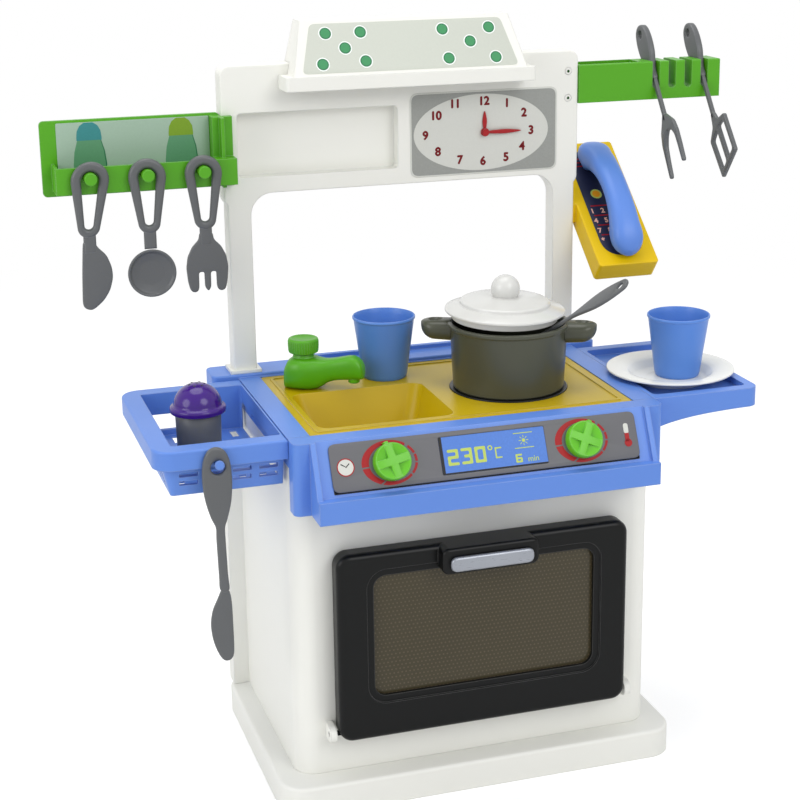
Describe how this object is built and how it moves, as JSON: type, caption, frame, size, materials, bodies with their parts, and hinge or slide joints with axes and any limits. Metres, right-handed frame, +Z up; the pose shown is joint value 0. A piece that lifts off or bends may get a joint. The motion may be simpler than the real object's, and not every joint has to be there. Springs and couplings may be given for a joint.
{
  "type": "play kitchen",
  "caption": "Free-standing toy kitchen with oven, sink, hob, tap, side basket and shelf, clock panel, hood, tool racks, phone and loose dishes.",
  "frame": {"origin": "on the floor, under the middle of the plinth", "axes": "+Z up, +Y towards the back panel, +X to the right for someone facing the oven"},
  "size_m": [0.829, 0.4012, 0.842],
  "materials": {
    "white_plastic": "satin",
    "blue_plastic": "satin",
    "yellow_plastic": "satin",
    "green_plastic": "satin",
    "black_plastic": "gloss",
    "smoked_window": "gloss",
    "silver_plastic": "satin",
    "grey_plastic": "satin",
    "pot_plastic": "satin",
    "purple_plastic": "gloss",
    "panel_plastic": "satin",
    "display_print": "gloss",
    "clock_print": "satin",
    "hood_print": "satin",
    "rack_print": "satin",
    "keypad_print": "satin",
    "red_plastic": "satin",
    "steel": "brushed"
  },
  "bodies": {
    "kitchen": {"plinth": "white_plastic", "plinth_screws": "steel", "cabinet_shell": "white_plastic", "oven_box": "white_plastic", "back_panel": "white_plastic", "panel_screws": "steel", "worktop": "blue_plastic", "sink_tray": "yellow_plastic", "hob_plate": "black_plastic", "back_frame": "white_plastic", "hood": "white_plastic", "hood_label": "hood_print", "clock_dial": "clock_print", "clock_pin": "red_plastic", "left_rack": "green_plastic", "left_rack_label": "rack_print", "right_rack": "green_plastic", "rack_screws": "steel", "phone_base": "yellow_plastic", "phone_keypad": "keypad_print", "console": "blue_plastic", "control_panel": "panel_plastic", "display_plate": "display_print", "side_basket": "blue_plastic", "side_shelf": "blue_plastic", "door_hinge_pins": "white_plastic"},
    "oven_door": {"door_frame": "black_plastic", "door_window": "smoked_window", "door_handle": "silver_plastic"},
    "tap": {"tap_body": "green_plastic"},
    "tap_handle": {"tap_knob": "green_plastic"},
    "left_control": {"left_knob": "green_plastic"},
    "right_control": {"right_knob": "green_plastic"},
    "hour_hand": {"clock_hour_hand": "red_plastic"},
    "minute_hand": {"clock_minute_hand": "red_plastic"},
    "handset": {"phone_handset": "blue_plastic"},
    "play_knife": {"knife": "grey_plastic"},
    "play_spoon": {"hanging_spoon": "grey_plastic"},
    "play_fork": {"hanging_fork": "grey_plastic"},
    "play_spatula": {"spatula": "grey_plastic"},
    "long_fork": {"roasting_fork": "grey_plastic"},
    "turner": {"slotted_turner": "grey_plastic"},
    "cooking_pot": {"pot": "pot_plastic"},
    "lid": {"pot_lid": "white_plastic"},
    "stirring_spoon": {"pot_spoon": "grey_plastic"},
    "cup_by_tap": {"left_cup": "blue_plastic"},
    "dinner_plate": {"plate": "white_plastic"},
    "cup_on_plate": {"right_cup": "blue_plastic"},
    "shaker": {"shaker_body": "grey_plastic"},
    "shaker_top": {"shaker_cap": "purple_plastic"}
  },
  "joints": [
    {"name": "oven_door_hinge", "type": "hinge", "parent": "kitchen", "child": "oven_door", "pos_m": [0, -0.138, 0.088], "axis": [1, 0, 0], "range_deg": [0, 90]},
    {"name": "tap_swivel", "type": "hinge", "parent": "kitchen", "child": "tap", "pos_m": [-0.147, 0.06, 0.44], "axis": [0, 0, 1], "range_deg": [-60, 12]},
    {"name": "tap_handle_turn", "type": "hinge", "parent": "tap", "child": "tap_handle", "pos_m": [-0.147, 0.06, 0.47], "axis": [0, 0, 1], "continuous": true},
    {"name": "left_control_turn", "type": "hinge", "parent": "kitchen", "child": "left_control", "pos_m": [-0.1095, -0.1555, 0.4025], "axis": [0, -0.8977, 0.4407], "continuous": true},
    {"name": "right_control_turn", "type": "hinge", "parent": "kitchen", "child": "right_control", "pos_m": [0.1095, -0.1555, 0.4025], "axis": [0, -0.8977, 0.4407], "continuous": true},
    {"name": "hour_hand_turn", "type": "hinge", "parent": "kitchen", "child": "hour_hand", "pos_m": [0.0986, 0.125, 0.703], "axis": [0, 1, 0], "continuous": true},
    {"name": "minute_hand_turn", "type": "hinge", "parent": "kitchen", "child": "minute_hand", "pos_m": [0.0986, 0.125, 0.703], "axis": [0, 1, 0], "continuous": true},
    {"name": "handset_lift", "type": "slide", "parent": "kitchen", "child": "handset", "axis": [0, -0.6361, 0.7716], "range_m": [0, 0.06]},
    {"name": "knife_swing", "type": "hinge", "parent": "kitchen", "child": "play_knife", "pos_m": [-0.375, 0.09, 0.683], "axis": [0, 1, 0], "range_deg": [-5, 21]},
    {"name": "spoon_swing", "type": "hinge", "parent": "kitchen", "child": "play_spoon", "pos_m": [-0.3118, 0.09, 0.683], "axis": [0, 1, 0], "range_deg": [-4, 5]},
    {"name": "fork_swing", "type": "hinge", "parent": "kitchen", "child": "play_fork", "pos_m": [-0.2486, 0.09, 0.683], "axis": [0, 1, 0], "range_deg": [-20, 4]},
    {"name": "spatula_swing", "type": "hinge", "parent": "kitchen", "child": "play_spatula", "pos_m": [-0.289, -0.13, 0.4145], "axis": [0, 1, 0], "range_deg": [-18, 18]},
    {"name": "long_fork_lift", "type": "slide", "parent": "kitchen", "child": "long_fork", "axis": [0, 0, 1], "range_m": [0, 0.17]},
    {"name": "turner_lift", "type": "slide", "parent": "kitchen", "child": "turner", "axis": [0, 0, 1], "range_m": [0, 0.17]},
    {"name": "pot_lift", "type": "slide", "parent": "kitchen", "child": "cooking_pot", "axis": [0, 0, 1], "range_m": [0, 0.1]},
    {"name": "lid_lift", "type": "slide", "parent": "cooking_pot", "child": "lid", "axis": [0, 0, 1], "range_m": [0, 0.06]},
    {"name": "stirring_spoon_slide", "type": "slide", "parent": "cooking_pot", "child": "stirring_spoon", "axis": [0.5188, -0.6339, 0.5736], "range_m": [0, 0.015]},
    {"name": "cup_by_tap_lift", "type": "slide", "parent": "kitchen", "child": "cup_by_tap", "axis": [0, 0, 1], "range_m": [0, 0.08]},
    {"name": "plate_lift", "type": "slide", "parent": "kitchen", "child": "dinner_plate", "axis": [0, 0, 1], "range_m": [0, 0.06]},
    {"name": "cup_on_plate_lift", "type": "slide", "parent": "dinner_plate", "child": "cup_on_plate", "axis": [0, 0, 1], "range_m": [0, 0.06]},
    {"name": "shaker_lift", "type": "slide", "parent": "kitchen", "child": "shaker", "axis": [0, 0, 1], "range_m": [0, 0.07]},
    {"name": "shaker_top_lift", "type": "slide", "parent": "shaker", "child": "shaker_top", "axis": [0, 0, 1], "range_m": [0, 0.03]}
  ]
}
